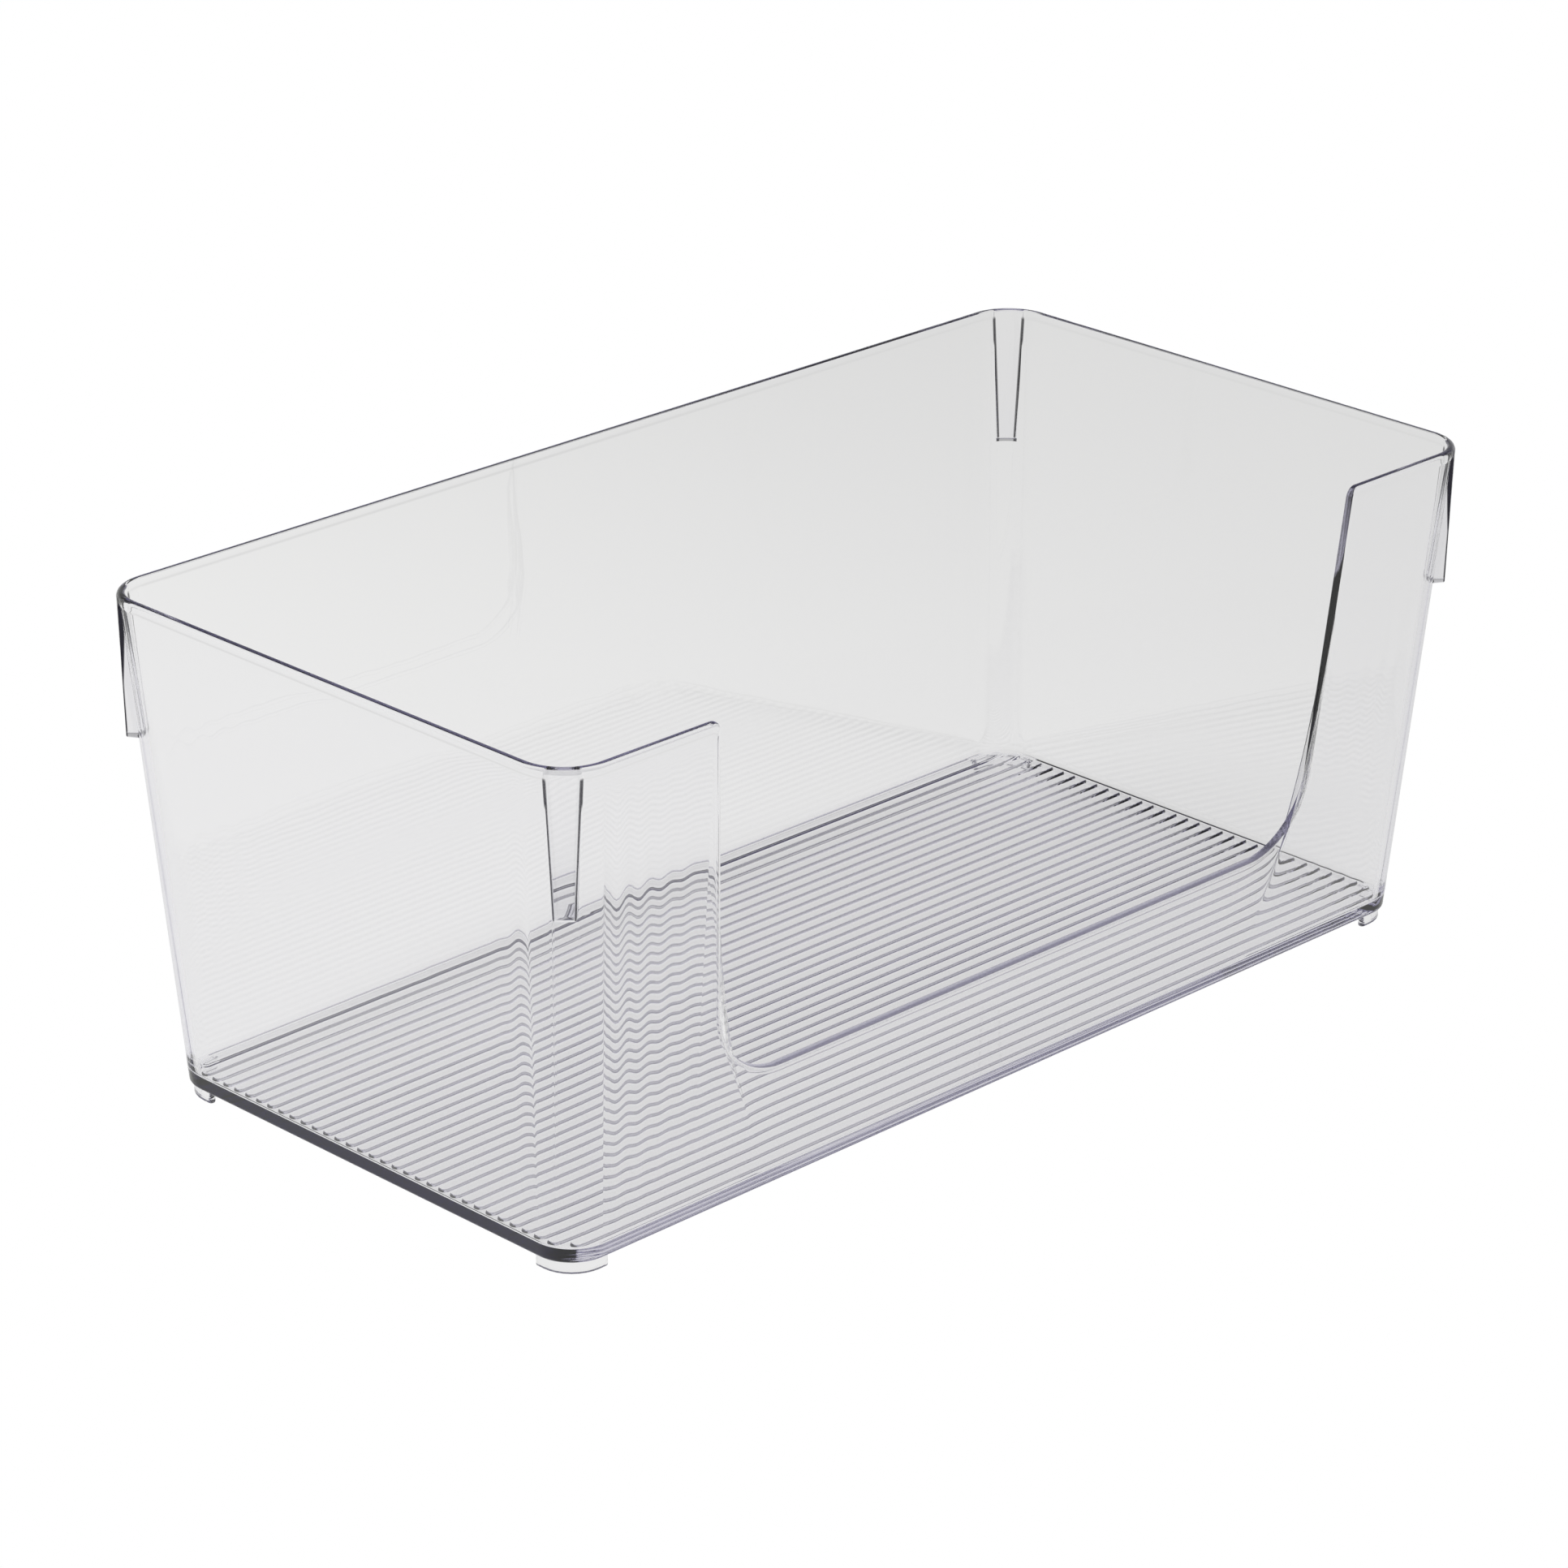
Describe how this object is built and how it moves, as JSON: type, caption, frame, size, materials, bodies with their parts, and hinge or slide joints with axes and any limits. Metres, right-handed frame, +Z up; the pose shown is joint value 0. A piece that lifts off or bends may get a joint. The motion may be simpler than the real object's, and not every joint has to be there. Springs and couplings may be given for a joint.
{
  "type": "fridge bin",
  "caption": "Clear open-topped fridge storage bin with leaning walls, a cut-out front, a ribbed floor, solid corner lugs under the rim and short curved feet.",
  "frame": {"origin": "centre of the footprint, on the plane the feet stand on", "axes": "+Z up; X along the bin's length; the low cut-out front faces -Y"},
  "size_m": [0.305, 0.1568, 0.127],
  "materials": {
    "clear_plastic": "clear, polished, water-white injection-moulded plastic"
  },
  "bodies": {
    "root": {"floor_panel": "clear_plastic", "floor_ribs": "clear_plastic", "back_wall": "clear_plastic", "left_wall": "clear_plastic", "right_wall": "clear_plastic", "front_sill": "clear_plastic", "front_left_panel": "clear_plastic", "front_right_panel": "clear_plastic", "front_left_corner_post": "clear_plastic", "front_left_stacking_lug": "clear_plastic", "front_left_foot": "clear_plastic", "front_right_corner_post": "clear_plastic", "front_right_stacking_lug": "clear_plastic", "front_right_foot": "clear_plastic", "back_left_corner_post": "clear_plastic", "back_left_stacking_lug": "clear_plastic", "back_left_foot": "clear_plastic", "back_right_corner_post": "clear_plastic", "back_right_stacking_lug": "clear_plastic", "back_right_foot": "clear_plastic"}
  },
  "joints": []
}
